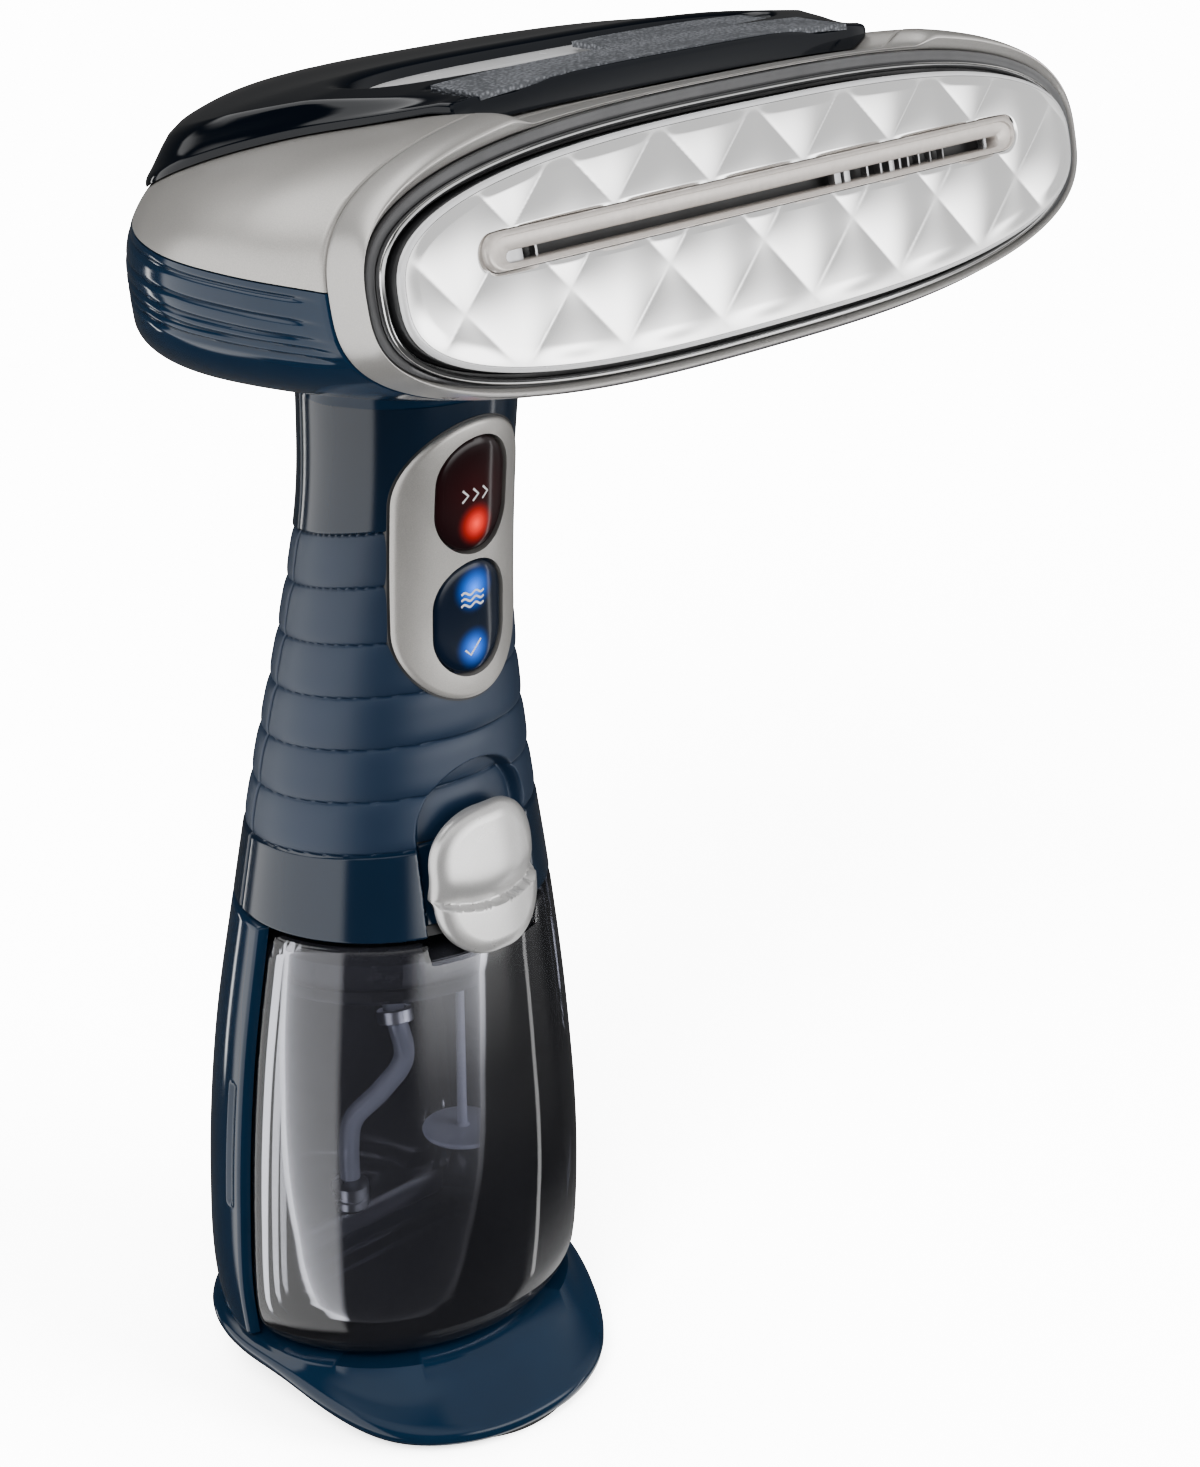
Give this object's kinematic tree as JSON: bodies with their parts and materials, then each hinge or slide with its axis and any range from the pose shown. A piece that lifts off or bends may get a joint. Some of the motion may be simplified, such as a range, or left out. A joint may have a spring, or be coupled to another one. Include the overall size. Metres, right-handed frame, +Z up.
{
  "type": "handheld garment steamer",
  "caption": "Upright handheld garment steamer with a wide quilted steam head, hinged top cover, pressed keys and a smoked slide-out water tank on a flared foot.",
  "frame": {"origin": "centre of the handle axis on the underside of the foot, where it stands", "axes": "+Z up, -Y towards the front where the steam plate faces, +X across the head to the right as seen from behind"},
  "size_m": [0.19, 0.1561, 0.3075],
  "materials": {
    "board_green": "green circuit board",
    "brass": "turned brass",
    "bright_chrome": "bright plated line",
    "cast_aluminium": "as-cast aluminium",
    "ceramic_cream": "cream ceramic body",
    "clear_hose": "clear flexible hose",
    "copper_coil": "enamelled copper winding",
    "dark_channel": "dark grey seal",
    "disc_grey": "grey moulding",
    "gloss_navy": "glossy dark navy moulding, matte on the grip bands",
    "lamp_blue": "blue lamp lens",
    "lamp_red": "red lamp lens",
    "moulded_black": "black moulding",
    "moulded_white": "white moulding",
    "pebbled_grey": "fine pebbled grey grip",
    "polished_plate": "polished quilted steam plate",
    "rubber": "black rubber",
    "satin_silver": "satin metallic silver paint over plastic",
    "shield_aluminium": "thin aluminium sheet",
    "smoked_clear": "smoked clear plastic",
    "steel": "plain steel",
    "window_black": "near-black tinted window, lit from behind"
  },
  "bodies": {
    "housing": {"base_foot": "gloss_navy", "base_pad": "rubber", "bay_wall": "gloss_navy", "bezel_gasket": "dark_channel", "boiler_block": "cast_aluminium", "boiler_cover": "cast_aluminium", "boiler_gasket": "rubber", "button_board": "board_green", "control_board": "board_green", "control_panel": "satin_silver", "cord_gland": "moulded_black", "cover_pin_left": "steel", "cover_pin_right": "steel", "front_bezel": "satin_silver", "handle_floor": "gloss_navy", "handle_front_shell": "gloss_navy", "handle_rear_shell": "gloss_navy", "head_lower_housing": "gloss_navy", "head_upper_housing": "satin_silver", "heat_shield": "shield_aluminium", "heating_element": "steel", "inlet_hose": "clear_hose", "latch_spring": "steel", "latch_tray": "gloss_navy", "outlet_hose": "clear_hose", "plate_trim_ring": "bright_chrome", "pump_body": "moulded_black", "pump_bracket": "steel", "pump_coil": "copper_coil", "rear_spine": "gloss_navy", "slot_frame": "satin_silver", "slot_grille": "steel", "steam_elbow": "brass", "steam_lamp": "lamp_blue", "steam_plate": "polished_plate", "steam_switch": "moulded_black", "tank_coupling": "moulded_white", "thermal_fuse": "ceramic_cream", "thermostat": "brass", "top_badge": "satin_silver", "turbo_lamp": "lamp_red", "turbo_switch": "moulded_black"},
    "water_tank": {"tank_shell": "smoked_clear", "tank_lid": "dark_channel", "tank_seal": "rubber", "tank_valve": "moulded_white", "pickup_hose": "clear_hose", "hose_clamp": "steel", "pickup_weight": "steel", "level_disc": "disc_grey"},
    "filler_cap": {"fill_cap": "dark_channel"},
    "turbo_key": {"turbo_button": "window_black"},
    "steam_key": {"steam_button": "window_black"},
    "release_latch": {"tank_latch": "satin_silver"},
    "head_cover": {"top_cover": "gloss_navy", "cover_grip_strip": "pebbled_grey"}
  },
  "joints": [
    {"name": "turbo_press", "type": "slide", "parent": "housing", "child": "turbo_key", "axis": [0, 0.9968, 0.0805], "range_m": [0, 0.0012], "stiffness_N_per_m": 900, "springref_m": -0.0006},
    {"name": "steam_press", "type": "slide", "parent": "housing", "child": "steam_key", "axis": [0, 0.9997, 0.0261], "range_m": [0, 0.0012], "stiffness_N_per_m": 900, "springref_m": -0.0006},
    {"name": "latch_lift", "type": "slide", "parent": "housing", "child": "release_latch", "axis": [0, 0.1213, 0.9926], "range_m": [0, 0.004], "stiffness_N_per_m": 400, "springref_m": -0.001},
    {"name": "tank_slide", "type": "slide", "parent": "housing", "child": "water_tank", "axis": [0, -1, 0], "range_m": [0, 0.05]},
    {"name": "cap_turn", "type": "hinge", "parent": "water_tank", "child": "filler_cap", "pos_m": [0.021, 0.001, 0.1132], "axis": [0, 0, 1], "range_deg": [0, 90]},
    {"name": "cover_lift", "type": "hinge", "parent": "housing", "child": "head_cover", "pos_m": [0, 0.00233, 0.28778], "axis": [-1, 0, 0], "range_deg": [0, 95]}
  ]
}
